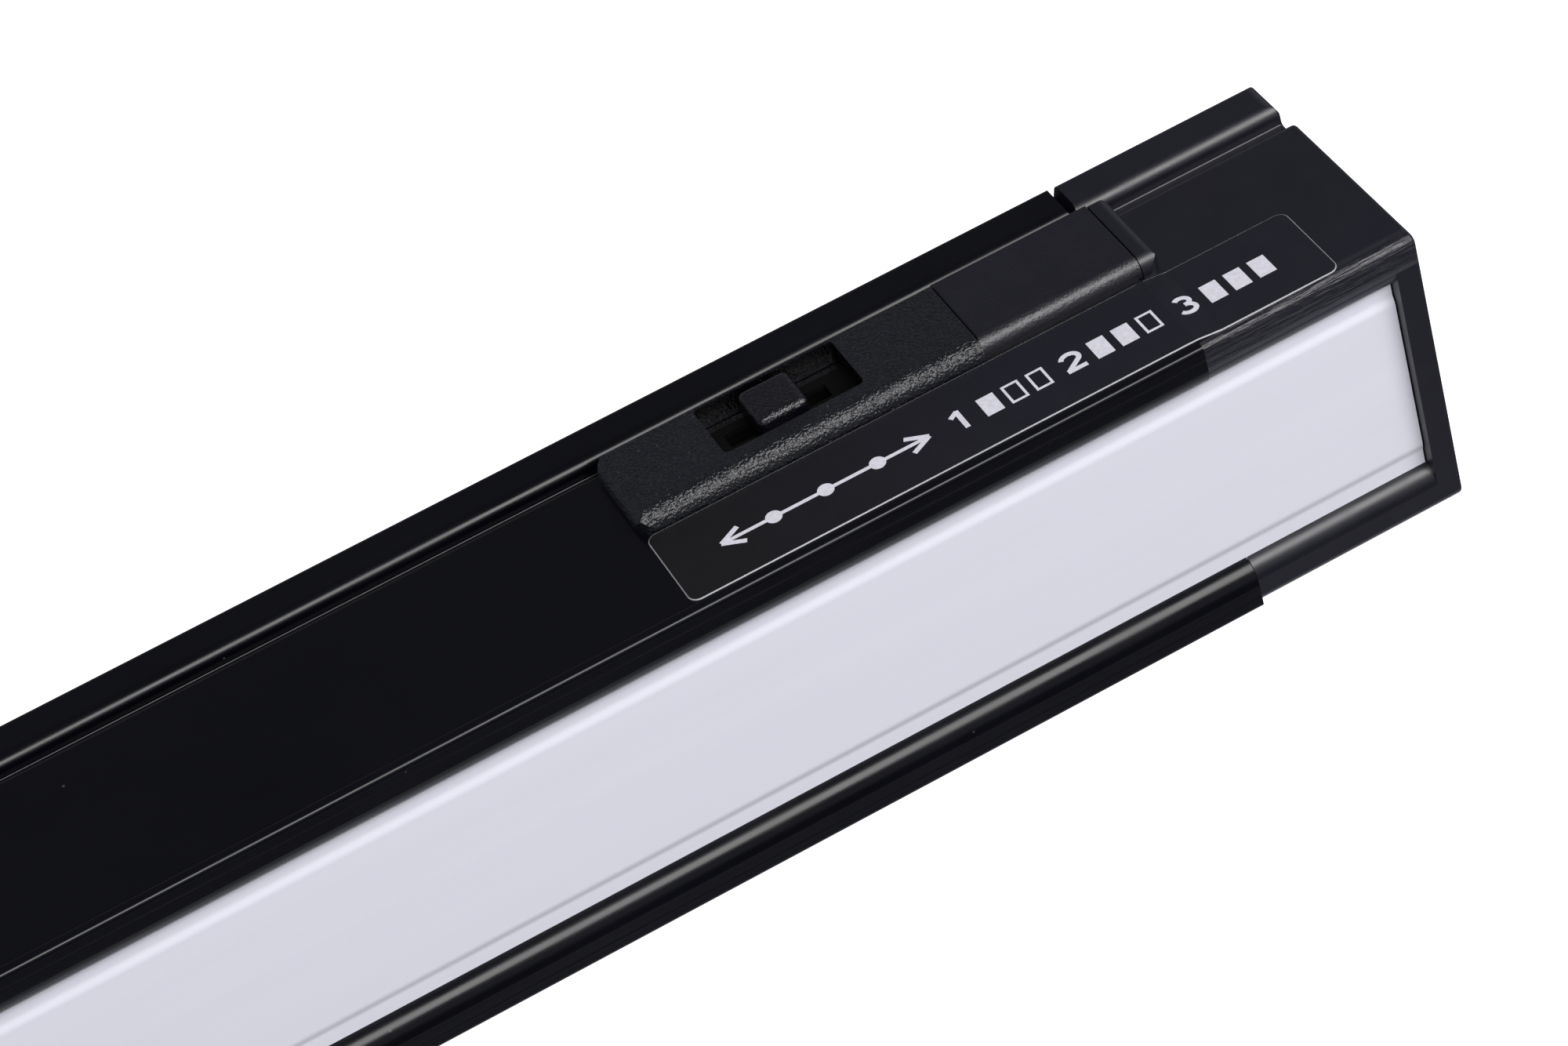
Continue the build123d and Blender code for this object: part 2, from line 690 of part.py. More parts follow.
def led_stations():
    """Middles of the LED pairs along the board, clear of the connector and the lead hole."""
    reach = board_half - led_end_margin
    count = int(2 * reach // led_pitch)
    xs = [(i - (count - 1) / 2) * led_pitch for i in range(count)]
    low = lead_hole_from_middle - lead_hole_radius - bush_lip - led_length
    high = connector_from_middle + connector_length / 2 + led_length
    return [x for x in xs if not low < x < high]


def led_row(z):
    """One row of LED packages at the distance z from the board's middle."""
    leds = []
    y = led_board_front_y
    for x in led_stations():
        leds.append(box(x - led_length / 2, x + led_length / 2, y - led_height, y,
                        z - led_width / 2, z + led_width / 2))
    return Compound(children=leds)


def connector_zs():
    """Places of the three leads across the connector."""
    return [-1.8, 0.0, 1.8]


def led_connector():
    """Plug-in connector for the LED board's leads."""
    x = connector_from_middle
    y = led_board_front_y
    body = box(x - connector_length / 2, x + connector_length / 2, y - connector_height, y,
               -connector_width / 2, connector_width / 2)
    mouth_x = x - connector_length / 2
    for z in connector_zs():
        body -= rod((mouth_x - 1, y - connector_height / 2, z), (1, 0, 0), lead_radius + 0.05, 4)
    return body


def lead_bush():
    """Rubber bush in the web, round the leads to the LED board."""
    x = lead_hole_from_middle
    bush = rod((x, web_back_y + bush_lip, 0), (0, -1, 0), lead_hole_radius + bush_lip, bush_lip)
    bush += rod((x, web_back_y + 0.1, 0), (0, -1, 0), lead_hole_radius - 0.05, web + bush_lip)
    bush += rod((x, seat_y, 0), (0, -1, 0), lead_hole_radius + bush_lip, bush_lip)
    return bush - rod((x, web_back_y + 5, 0), (0, -1, 0), lead_hole_radius - bush_wall, 12)


# ---------------------------------------------------------------- driver
def driver_tray():
    """Insulating tray for the driver, lying on the screw ports and open towards the web."""
    half = tray_width / 2
    tray = box(tray_start, tray_x1, web_back_y + 0.6, tray_back_y, -half, half)
    tray -= box(tray_start - 1, tray_x1 + 1, web_back_y - 1, tray_back_y - tray_wall,
                -half + tray_wall, half - tray_wall)
    for x in driver_screw_xs():
        post = rod((x, tray_back_y - tray_wall + 0.1, 0), (0, -1, 0), 2.6, driver_standoff + 0.1)
        tray += post
        tray -= rod((x, tray_back_y + 1, 0), (0, -1, 0), 1.05, 8)
    return tray


def driver_screw_xs():
    """Stations of the two screws that hold the driver's board."""
    return [driver_x0 + 8, driver_x1 - 8]


def driver_board():
    """Long narrow board of the driver."""
    half = driver_width / 2
    board = box(driver_x0, driver_x1, driver_front_y, driver_back_y, -half, half)
    for x in driver_screw_xs():
        board -= rod((x, driver_back_y + 1, 0), (0, -1, 0), 1.2, driver_board_thickness + 2)
    return board


def driver_screws():
    """Two screws through the driver's board into the tray."""
    screws = []
    for x in driver_screw_xs():
        head = rod((x, driver_front_y, 0), (0, -1, 0), 2.1, 1.3)
        shank = rod((x, driver_front_y - 0.1, 0), (0, 1, 0), 1.0, driver_board_thickness + driver_standoff + 0.6)
        recess = cross_recess((x, driver_front_y - 1.3, 0), (0, -1, 0), 2.4, 0.6, 0.7)
        screws.append(head + shank - recess)
    return Compound(children=screws)


def driver_x(share):
    """A station along the driver's board, from its supply end (0) to its output end (1)."""
    return driver_x0 + share * (driver_x1 - driver_x0)


def on_driver(share, length, height, z0, z1):
    """A block-shaped component standing on the driver's board."""
    x = driver_x(share)
    return box(x - length / 2, x + length / 2, driver_front_y - height, driver_front_y, z0, z1)


def driver_fuse():
    """Cylindrical fuse in two clips, lying across the board."""
    x = driver_x(0.06)
    y = driver_front_y - 3.2
    fuse = rod((x, y, -8), (0, 0, 1), 2.4, 16)
    for z in (-7, 7):
        fuse += box(x - 2.8, x + 2.8, driver_front_y - 4.4, driver_front_y, z - 1, z + 1)
    return fuse


def driver_varistor():
    """Disc varistor standing on edge."""
    x = driver_x(0.105)
    disc = rod((x - 1.8, driver_front_y - 4.3, 2), (1, 0, 0), 3.9, 3.6)
    return disc + box(x - 1.2, x + 1.2, driver_front_y - 1.5, driver_front_y, 0, 4)


def driver_choke():
    """Toroidal interference choke lying flat."""
    x = driver_x(0.165)
    ring = rod((x, driver_front_y - 1, 0), (0, -1, 0), 8.5, 6.0)
    ring -= rod((x, driver_front_y + 1, 0), (0, -1, 0), 3.6, 10)
    return ring + rod((x, driver_front_y, 0), (0, -1, 0), 8.0, 1.05)


def driver_rectifier():
    """Flat bridge rectifier."""
    return on_driver(0.235, 9.0, 3.2, -6, 3)


def driver_input_capacitor():
    """Electrolytic capacitor lying along the board."""
    x = driver_x(0.33)
    can = rod((x - 11, driver_front_y - 4.5, 5.5), (1, 0, 0), 4.4, 22)
    return can + box(x - 9, x + 9, driver_front_y - 1, driver_front_y, 3.5, 7.5)


def driver_transformer():
    """Ferrite-cored transformer with its bobbin."""
    x = driver_x(0.52)
    core = box(x - 10, x + 10, driver_front_y - 9, driver_front_y - 1, -9, 9)
    core -= box(x - 7, x + 7, driver_front_y - 10, driver_front_y, -6, 6)
    bobbin = box(x - 6.9, x + 6.9, driver_front_y - 8.6, driver_front_y, -5.9, 5.9)
    legs = box(x - 9, x + 9, driver_front_y - 1.05, driver_front_y, -8, 8)
    return core + legs + bobbin + box(x - 7.2, x + 7.2, driver_front_y - 8, driver_front_y - 2, -6.2, 6.2)


def driver_controller():
    """Controller chip in its moulded package."""
    return on_driver(0.42, 10.0, 1.7, -9, -5)


def driver_transistor():
    """Switching transistor laid flat on its copper pad."""
    return on_driver(0.62, 10.0, 4.4, -4, 6)


def driver_output_capacitors():
    """Two upright output capacitors."""
    cans = []
    for share in (0.72, 0.78):
        cans.append(rod((driver_x(share), driver_front_y, 4), (0, -1, 0), 5.0, component_room - 1.2))
    return Compound(children=cans)


def driver_selector_chip():
    """Chip that sets the two LED colours' shares from the switch's position."""
    return on_driver(0.86, 6.0, 1.5, -8, -3)


# ---------------------------------------------------------------- supply end
def cable_grommet():
    """Rubber grommet in the supply cap's end wall."""
    x_out = -end_x
    x_in = -cap_end_inner
    body = rod((x_out - grommet_lip_thickness, -cable_axis, 0), (1, 0, 0), grommet_hole_radius - 0.05,
               cap_end_wall + 2 * grommet_lip_thickness)
    outer_lip = rod((x_out - grommet_lip_thickness, -cable_axis, 0), (1, 0, 0), grommet_hole_radius + grommet_lip,
                    grommet_lip_thickness)
    outer_lip = fillet(outer_lip.edges().group_by(Axis.X)[0], 0.6)
    inner_lip = rod((x_in, -cable_axis, 0), (1, 0, 0), grommet_hole_radius + grommet_lip * 0.6, grommet_lip_thickness)
    bore = rod((x_out - 5, -cable_axis, 0), (1, 0, 0), grommet_bore, cap_end_wall + 12)
    return body + outer_lip + inner_lip - bore


def terminal_block():
    """Three-pole connector block in the rear chamber."""
    x0 = -end_x + terminal_from_end
    back = -back_wall
    between_ports = port_z - port_radius - 0.4
    block = box(x0, x0 + terminal_length, back - terminal_depth, back, -between_ports, between_ports)
    wide_back = port_y - port_radius - 0.2
    block += box(x0, x0 + terminal_length, back - terminal_depth - 3, wide_back,
                 -terminal_width / 2, terminal_width / 2)
    for z in terminal_zs():
        y = terminal_lead_y()
        block -= rod((x0 - 1, y, z), (1, 0, 0), 1.7, terminal_length + 2)
        block -= rod((x0 + terminal_length / 2, back - terminal_depth - 4, z), (0, 1, 0), 1.9, 4.5)
    return block


def terminal_zs():
    """The three poles' places across the block."""
    return [-7.5, 0.0, 7.5]


def terminal_lead_y():
    """Height of the lead holes in the terminal block."""
    return -back_wall - terminal_depth + 1.2


def terminal_screws():
    """One clamping screw for each pole."""
    screws = []
    x = -end_x + terminal_from_end + terminal_length / 2
    top = -back_wall - terminal_depth - 2.6
    for z in terminal_zs():
        screw = rod((x, top, z), (0, 1, 0), 1.8, 1.9)
        screw -= box(x - 2, x + 2, top - 0.6, top + 0.6, z - 0.3, z + 0.3)
        screws.append(screw)
    return Compound(children=screws)


def earth_tag():
    """Ring tag under the earth screw, with its crimp."""
    x = -end_x + earth_from_end
    y = -back_wall
    ring = rod((x, y, 0), (0, -1, 0), 3.9, 0.8) + box(x - 9, x - 3, y - 0.8, y, -1.6, 1.6)
    crimp = rod((x - earth_crimp, y - 1.7, 0), (1, 0, 0), 1.6, 5)
    crimp -= rod((x - earth_crimp - 1, y - 1.7, 0), (1, 0, 0), lead_radius + 0.02, 7)
    return ring + crimp - rod((x, y + 1, 0), (0, -1, 0), earth_screw_radius + 0.15, 4)


def earth_screw():
    """Earth screw through the tag into the housing's back."""
    x = -end_x + earth_from_end
    y = -back_wall - 0.8
    screw = rod((x, y, 0), (0, -1, 0), 3.4, 2.0)
    screw += rod((x, y - 0.1, 0), (0, 1, 0), earth_screw_radius, back_wall + 0.6)
    return screw - cross_recess((x, y - 2.0, 0), (0, -1, 0), 3.8, 0.8, 1.1)


def cable_clamp():
    """Bar that grips the supply cable against the cap."""
    x = -(end_x - clamp_from_end)
    back = -cable_axis - grommet_bore + 0.6
    reach = clamp_screw_span / 2 + 3
    bar = box(x - clamp_width / 2, x + clamp_width / 2, back - clamp_bar, back, -reach, reach)
    for side in (-1, 1):
        z = side * clamp_screw_span / 2
        leg_top = -cable_axis + grommet_bore
        bar += box(x - clamp_width / 2, x + clamp_width / 2, back - 0.1, leg_top, z - 2.4, z + 2.4)
        bar -= rod((x, back - clamp_bar - 1, z), (0, 1, 0), 1.3, 16)
    return bar


def cable_clamp_screws():
    """Two screws through the clamp bar into the cap's posts."""
    screws = []
    x = -(end_x - clamp_from_end)
    top = -cable_axis - grommet_bore + 0.6 - clamp_bar
    for side in (-1, 1):
        z = side * clamp_screw_span / 2
        head = rod((x, top, z), (0, -1, 0), 2.3, 1.4)
        shank = rod((x, top - 0.1, z), (0, 1, 0), 1.1, 14.0)
        screws.append(head + shank - cross_recess((x, top - 1.4, z), (0, -1, 0), 2.6, 0.6, 0.8))
    return Compound(children=screws)


# ---------------------------------------------------------------- internal leads
def lead(points, bend=3.0):
    """A round lead along straight runs joined by tangent arcs."""
    path = FilletPolyline(*points, radius=bend)
    section = Plane(origin=path @ 0, z_dir=path % 0) * Circle(lead_radius)
    return sweep(section, path=path)


def supply_leads():
    """Line and neutral from the terminal block to the driver's board."""
    x_block = -end_x + terminal_from_end + terminal_length - 3
    x_board = driver_x0 + 3
    y = terminal_lead_y()
    y_end = driver_front_y - lead_radius
    middle = (x_block + x_board) / 2
    leads = []
    for z, z_end in ((-7.5, -9.0), (7.5, 9.0)):
        points = [(x_block, y, z), (middle - 12, y, z), (middle + 12, y_end, z_end), (x_board, y_end, z_end)]
        leads.append(lead(points, 12.0))
    return Compound(children=leads)


def earth_lead():
    """Earth lead from the terminal block's middle pole to the ring tag."""
    x_block = -end_x + terminal_from_end + terminal_length
    x_crimp = -end_x + earth_from_end - earth_crimp
    y = terminal_lead_y()
    y_crimp = -back_wall - 1.7
    points = [(x_block - 3, y, 0), (x_block + 4, y, 0), (x_crimp - 5, y_crimp, 0), (x_crimp + 2, y_crimp, 0)]
    return lead(points, 6.0)


def led_leads():
    """Three leads from the driver's output through the bush to the LED connector."""
    leads = []
    y_board = driver_front_y - lead_radius
    y_plug = led_board_front_y - connector_height / 2
    x0 = driver_x1 - 5
    x1 = connector_from_middle - connector_length / 2 + 1.5
    x_hole = lead_hole_from_middle
    for z in connector_zs():
        points = [(x0, y_board, z), (x_hole, y_board, z), (x_hole, y_plug, z), (x1, y_plug, z)]
        leads.append(lead(points, 4.0))
    return Compound(children=leads)


def switch_leads():
    """Four leads from the switch's terminals to the selector chip's end of the driver."""
    leads = []
    z0 = switch_pcb_bottom - lead_radius
    x0 = switch_x - switch_pcb_length / 2 + 1.5
    x1 = driver_x1 - 14
    y_end = driver_front_y - lead_radius
    mid = (x0 + driver_x1) / 2
    for i in range(4):
        y = switch_y + (i - 1.5) * 2.3 * lead_radius
        z_end = 13.0 - i * 1.6
        points = [(x0, y, z0), (mid + 10, y, z0), (mid - 10, y_end, z_end), (x1, y_end, z_end)]
        leads.append(lead(points, 10.0))
    return Compound(children=leads)


# ---------------------------------------------------------------- write every node
save(housing_profile(), "housing_profile")
save(diffuser(), "diffuser")
save(end_cap_switch_end(), "end_cap_switch_end")
save(end_cap_supply_end(), "end_cap_supply_end")
save(end_cap_screws(), "end_cap_screws")
save(switch_housing(), "switch_housing")
save(raceway_cover(), "raceway_cover")
save(switch_knob(), "switch_knob")
save(switch_body(), "switch_body")
save(switch_contact_bridge(), "switch_contact_bridge")
save(switch_terminals(), "switch_terminals")
save(switch_board(), "switch_board")
save(switch_board_screws(), "switch_board_screws")
save(label(), "label")
save(led_board(), "led_board")
save(led_board_screws(), "led_board_screws")
save(led_row(led_row_offset), "leds_warm")
save(led_row(-led_row_offset), "leds_cool")
save(led_connector(), "led_connector")
save(lead_bush(), "lead_bush")
save(driver_tray(), "driver_tray")
save(driver_board(), "driver_board")
save(driver_screws(), "driver_screws")
save(driver_fuse(), "driver_fuse")
save(driver_varistor(), "driver_varistor")
save(driver_choke(), "driver_choke")
save(driver_rectifier(), "driver_rectifier")
save(driver_input_capacitor(), "driver_input_capacitor")
save(driver_transformer(), "driver_transformer")
save(driver_controller(), "driver_controller")
save(driver_transistor(), "driver_transistor")
save(driver_output_capacitors(), "driver_output_capacitors")
save(driver_selector_chip(), "driver_selector_chip")
save(cable_grommet(), "cable_grommet")
save(terminal_block(), "terminal_block")
save(terminal_screws(), "terminal_screws")
save(earth_tag(), "earth_tag")
save(earth_screw(), "earth_screw")
save(cable_clamp(), "cable_clamp")
save(cable_clamp_screws(), "cable_clamp_screws")
save(supply_leads(), "supply_leads")
save(earth_lead(), "earth_lead")
save(led_leads(), "led_leads")
save(switch_leads(), "switch_leads")
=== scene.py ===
# %% [markdown]
# # A linear LED batten, dressed for its portrait
#
# The object is a black surface-mounted light: a drawn aluminium housing, an opal strip under two rolled lips,
# a moulded cap screwed on each end, and a raised block on one side face with a small slide switch in it.
# The exact solids arrive ready made, so this lesson is about three other things: a camera that sees the piece
# as a product photographer would, finishes worked out from noise, and a few fine pieces that are too thin or
# too decorative to be engineering, namely the printed marks and the clear edge of the label.

import bpy
import numpy as np
from mathutils import Matrix, Vector


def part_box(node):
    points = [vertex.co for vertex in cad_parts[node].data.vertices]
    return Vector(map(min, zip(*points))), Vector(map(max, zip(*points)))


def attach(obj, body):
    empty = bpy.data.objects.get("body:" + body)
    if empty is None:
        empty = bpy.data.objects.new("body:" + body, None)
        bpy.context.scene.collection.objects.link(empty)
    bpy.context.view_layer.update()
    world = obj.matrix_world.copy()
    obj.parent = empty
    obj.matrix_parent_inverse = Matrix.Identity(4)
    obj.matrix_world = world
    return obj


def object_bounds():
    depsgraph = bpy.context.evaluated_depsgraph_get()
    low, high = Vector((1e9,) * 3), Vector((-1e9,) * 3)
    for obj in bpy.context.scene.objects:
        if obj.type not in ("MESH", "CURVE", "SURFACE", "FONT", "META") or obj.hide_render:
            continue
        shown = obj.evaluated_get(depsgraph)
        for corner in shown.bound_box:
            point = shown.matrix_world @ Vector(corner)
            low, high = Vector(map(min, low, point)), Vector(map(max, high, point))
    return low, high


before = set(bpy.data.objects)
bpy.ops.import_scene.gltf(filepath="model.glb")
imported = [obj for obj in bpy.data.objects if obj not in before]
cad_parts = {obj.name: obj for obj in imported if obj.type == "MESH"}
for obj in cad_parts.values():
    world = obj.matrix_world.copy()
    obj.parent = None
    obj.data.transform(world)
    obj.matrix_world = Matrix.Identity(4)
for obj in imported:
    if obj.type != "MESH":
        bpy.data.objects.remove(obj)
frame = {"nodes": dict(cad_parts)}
nodes = frame["nodes"]
cad_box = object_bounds()
print("solids loaded:", len(nodes))


# %% [markdown]
# ## The camera
#
# A long lens about half a metre away keeps the batten's edges nearly parallel.  The camera looks down at the
# switch end from the front, and it is rolled, so the batten climbs across the picture from lower left to
# upper right.  The three directions below are the camera's own axes: right, up and forward.

# %% Place the camera
LENS_MM = 103.5
SENSOR_MM = 36.0
CAMERA_PLACE = Vector((0.1351, -0.3936, 0.3567))
CAMERA_RIGHT = Vector((0.8740, -0.4250, -0.2358))
CAMERA_FORWARD = Vector((0.1712, 0.7232, -0.6691))


def place_camera():
    """Build the camera from two axes; the third is their cross product, so the three stay square."""
    forward = CAMERA_FORWARD.normalized()
    right = (CAMERA_RIGHT - CAMERA_RIGHT.dot(forward) * forward).normalized()
    up = right.cross(forward)
    turn = Matrix((right, up, -forward)).transposed()
    data = bpy.data.cameras.new("camera")
    data.lens = LENS_MM
    data.sensor_width = SENSOR_MM
    data.clip_start = 0.01
    data.clip_end = 20.0
    camera = bpy.data.objects.new("camera", data)
    camera.matrix_world = Matrix.Translation(CAMERA_PLACE) @ turn.to_4x4()
    bpy.context.scene.collection.objects.link(camera)
    bpy.context.scene.camera = camera


place_camera()
bpy.context.scene.view_settings.view_transform = "Standard"    # plain film: white paper stays white
print("camera stands", round(CAMERA_PLACE.length, 3), "m from the origin")


# %% [markdown]
# ## Finishes from noise
#
# No two patches of a real surface are quite alike, so every finish here starts from the same recipe: a broad,
# slow noise that shifts colour and gloss a little, and a fine noise that becomes the grain under the light.
# Both read Object coordinates, which are metres from the batten's middle, so a scale of 4000 means grains of
# a quarter of a millimetre.  A stretched grain, long in X and short across, gives the lines that a drawing
# die leaves along an extrusion.

# %% A small kit for building shader trees
class Tree:
    """A material's node tree, with the short calls that the finishes below are written in."""

    def __init__(self, name):
        self.take(bpy.data.materials.new(name))

    @classmethod
    def of(cls, material):
        """The tree of a material that is already made, to add to it."""
        tree = cls.__new__(cls)
        tree.take(material)
        return tree

    def take(self, material):
        """Hold a material's nodes, links and shader."""
        self.material = material
        self.material.use_nodes = True
        self.nodes = self.material.node_tree.nodes
        self.links = self.material.node_tree.links
        self.shader = self.nodes["Principled BSDF"]

    def add(self, kind, **values):
        """Add a node and set its sockets by name."""
        node = self.nodes.new(kind)
        for key, value in values.items():
            node.inputs[key.replace("_", " ")].default_value = value
        return node

    def join(self, output, target, socket):
        """Run a wire from an output to a node's named input."""
        self.links.new(output, target.inputs[socket])

    def noise(self, scale, detail=3.0, stretch=(1.0, 1.0, 1.0)):
        """Noise over Object coordinates, stretched by a scale along each axis."""
        place = self.add("ShaderNodeTexCoord")
        mapping = self.add("ShaderNodeMapping", Scale=stretch)
        self.join(place.outputs["Object"], mapping, "Vector")
        noise = self.add("ShaderNodeTexNoise", Scale=scale, Detail=detail)
        self.join(mapping.outputs["Vector"], noise, "Vector")
        return noise.outputs["Fac"]

    def axes(self):
        """Object coordinates as three separate outputs, X, Y and Z."""
        place = self.add("ShaderNodeTexCoord")
        split = self.add("ShaderNodeSeparateXYZ")
        self.join(place.outputs["Object"], split, "Vector")
        return split.outputs

    def ramp(self, value, start, stop, low, high):
        """Carry a value between start and stop to low and high, level outside them."""
        node = self.add("ShaderNodeMapRange", From_Min=start, From_Max=stop, To_Min=low, To_Max=high)
        self.join(value, node, "Value")
        return node.outputs["Result"]

    def spread(self, value, low, high):
        """Spread the middle of a noise, 0.3 to 0.7, over low to high."""
        return self.ramp(value, 0.3, 0.7, low, high)

    def multiply(self, first, second):
        """The product of two outputs."""
        node = self.add("ShaderNodeMath")
        node.operation = "MULTIPLY"
        self.links.new(first, node.inputs[0])
        self.links.new(second, node.inputs[1])
        return node.outputs["Value"]

    def blend(self, amount, first, second):
        """Mix two colours by an amount from 0 to 1."""
        node = self.add("ShaderNodeMix")
        node.data_type = "RGBA"
        for socket, colour in ((node.inputs[6], first), (node.inputs[7], second)):
            if isinstance(colour, tuple):
                socket.default_value = (*colour, 1.0)
            else:
                self.links.new(colour, socket)
        self.links.new(amount, node.inputs[0])
        return node.outputs[2]

    def bumps(self, *layers):
        """Chain bump nodes; each layer is (height, distance in metres, strength)."""
        previous = None
        for height, distance, strength in layers:
            node = self.add("ShaderNodeBump", Strength=strength, Distance=distance)
            self.join(height, node, "Height")
            if previous is not None:
                self.join(previous, node, "Normal")
            previous = node.outputs["Normal"]
        self.join(previous, self.shader, "Normal")


def shade(colour, factor):
    """A colour made darker or lighter by a factor."""
    return tuple(channel * factor for channel in colour)


def plain_finish(name, colour, gloss, grain=3000.0, depth=0.00002, metal=0.0, mottle=0.12, sheen=0.5):
    """The common recipe: mottled colour, uneven gloss and a fine grain, all from noise."""
    tree = Tree(name)
    broad = tree.spread(tree.noise(60.0), 0.0, 1.0)
    colour_out = tree.blend(broad, shade(colour, 1 - mottle), shade(colour, 1 + mottle))
    tree.join(colour_out, tree.shader, "Base Color")
    tree.join(tree.spread(tree.noise(140.0), gloss * 0.85, gloss * 1.15), tree.shader, "Roughness")
    tree.shader.inputs["Metallic"].default_value = metal
    tree.shader.inputs["Specular IOR Level"].default_value = sheen
    tree.bumps((tree.noise(grain, 2.0), depth, 0.5))
    return tree.material


print("shader kit ready")


# %% [markdown]
# ### The housing
#
# A drawn aluminium bar under a thin black coat is glossy and slightly wavy along its length, because the die
# leaves fine lines.  The coat also shows every speck of dust.  The specks come from a cell pattern: the
# middle of each cell is a dot, and a second, slower noise hides most of them, so the few left look scattered.

# %% Finish of the housing
COAT_BLACK = (0.0015, 0.0016, 0.0034)
DUST_GREY = (0.10, 0.10, 0.11)


def specks(tree, scale, size, amount):
    """Scattered dots: a cell pattern's centres, kept only where a slow noise runs high."""
    place = tree.add("ShaderNodeTexCoord")
    cells = tree.add("ShaderNodeTexVoronoi", Scale=scale)
    tree.join(place.outputs["Object"], cells, "Vector")
    dots = tree.ramp(cells.outputs["Distance"], 0.0, size, 1.0, 0.0)
    kept = tree.ramp(tree.noise(scale * 0.31, 1.0), 0.56, 0.60, 0.0, amount)
    return tree.multiply(dots, kept)


def coated_extrusion():
    """Glossy black coat over drawn aluminium, with die lines and a little dust."""
    tree = Tree("coated_extrusion")
    slow = tree.spread(tree.noise(35.0), 0.0, 1.0)
    coat = tree.blend(slow, shade(COAT_BLACK, 0.8), shade(COAT_BLACK, 1.25))
    dusty = tree.blend(specks(tree, 240.0, 0.055, 1.0), coat, DUST_GREY)
    tree.join(dusty, tree.shader, "Base Color")
    tree.join(tree.spread(tree.noise(90.0), 0.19, 0.27), tree.shader, "Roughness")
    tree.shader.inputs["Specular IOR Level"].default_value = 0.38
    die_lines = tree.noise(2600.0, 2.0, (0.004, 1.0, 1.0))
    tree.bumps((die_lines, 0.000016, 0.5), (tree.noise(900.0, 2.0), 0.000003, 0.3))
    return tree.material


housing_finish = coated_extrusion()
print("housing finish:", housing_finish.name)


# %% [markdown]
# ### The mouldings
#
# The caps come from a smooth, slightly dull mould.  The switch block comes from a mould eroded by sparks,
# which leaves a fine pebbled grain: on the round ridge the highlight breaks into hundreds of small glints.
# The cover strip beside it is nearly smooth, and only its ridge is gritty.
#
# Two of them change over their surface.  Packing has rubbed the cap's front edge on the switch's side, so long
# scratches are added past one Y and past one Z.  The walls of the switch's window are smoother than the block
# and carry painted shade, a darker colour for the shade in the recess, picked out by a box in Object
# coordinates.

# %% Finishes of the mouldings
RUB_FRONT_Y = -0.0343           # the rub is full in front of this Y, less the fade
RUB_SIDE_Z = 0.0168             # and beyond this Z, plus the fade
RUB_FADE = 0.0009
SCRATCH_DEPTH = 0.00032
WINDOW_HALF_WIDTH = 0.0048
WINDOW_WALL_MIDDLE = 0.0025     # below the block's face
WINDOW_WALL_HALF = 0.0022
# painted shade: a darker colour for the window's walls, standing for the shade inside the recess
WALL_PAINTED_SHADE = (0.0008, 0.0008, 0.0010)
WALL_GLOSS = 0.20


def moulded(name, colour, gloss, grain, depth, strength, scuff=0.03, sheen=0.7):
    """Moulded plastic: a pebbled grain over a softer, larger unevenness, with scuffed gloss."""
    tree = Tree(name)
    slow = tree.spread(tree.noise(45.0), 0.0, 1.0)
    tree.join(tree.blend(slow, shade(colour, 0.9), shade(colour, 1.12)), tree.shader, "Base Color")
    tree.join(tree.spread(tree.noise(260.0, 4.0), gloss - scuff, gloss + scuff), tree.shader, "Roughness")
    tree.shader.inputs["Specular IOR Level"].default_value = sheen
    pebbles = tree.noise(grain, 1.5)
    swell = tree.noise(grain * 0.22, 2.0)
    tree.bumps((swell, depth * 0.8, strength * 0.5), (pebbles, depth, strength))
    return tree.material


def rubbed_front(tree):
    """Height of the lengthwise scratches: a stretched noise at the rubbed edge, and 0 elsewhere."""
    axes = tree.axes()
    front = tree.ramp(axes["Y"], RUB_FRONT_Y - RUB_FADE, RUB_FRONT_Y, 1.0, 0.0)
    side = tree.ramp(axes["Z"], RUB_SIDE_Z, RUB_SIDE_Z + RUB_FADE, 0.0, 1.0)
    return tree.multiply(tree.multiply(front, side), tree.noise(1700.0, 4.0, (0.06, 1.0, 1.0)))


def capped():
    """The caps' moulding, with its front edge rubbed."""
    material = moulded("cap_moulding", (0.0060, 0.0060, 0.0112), gloss=0.37, grain=3800.0, depth=0.000012,
                       strength=0.35)
    tree = Tree.of(material)
    grain = tree.shader.inputs["Normal"].links[0].from_socket
    scratch = tree.add("ShaderNodeBump", Strength=1.0, Distance=SCRATCH_DEPTH)
    tree.join(rubbed_front(tree), scratch, "Height")
    tree.join(grain, scratch, "Normal")
    tree.join(scratch.outputs["Normal"], tree.shader, "Normal")
    return material


def window_shade_and_gloss_mask(tree):
    """1 inside the switch's window and below the block's face, 0 elsewhere.

    Along each axis a compare node gives 1 where the coordinate is within a reach of a middle, and the three
    answers are multiplied.
    """
    # the box covers the window's walls, which get painted shade and a lower roughness
    low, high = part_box("switch_body")
    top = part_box("switch_housing")[1].z
    spans = (("X", (low.x + high.x) / 2, (high.x - low.x) / 2),
             ("Y", (low.y + high.y) / 2, WINDOW_HALF_WIDTH),
             ("Z", top - WINDOW_WALL_MIDDLE, WINDOW_WALL_HALF))
    axes = tree.axes()
    answers = []
    for axis, middle, reach in spans:
        near = tree.add("ShaderNodeMath")
        near.operation = "COMPARE"
        tree.links.new(axes[axis], near.inputs[0])
        near.inputs[1].default_value = middle
        near.inputs[2].default_value = reach
        answers.append(near.outputs["Value"])
    return tree.multiply(tree.multiply(answers[0], answers[1]), answers[2])


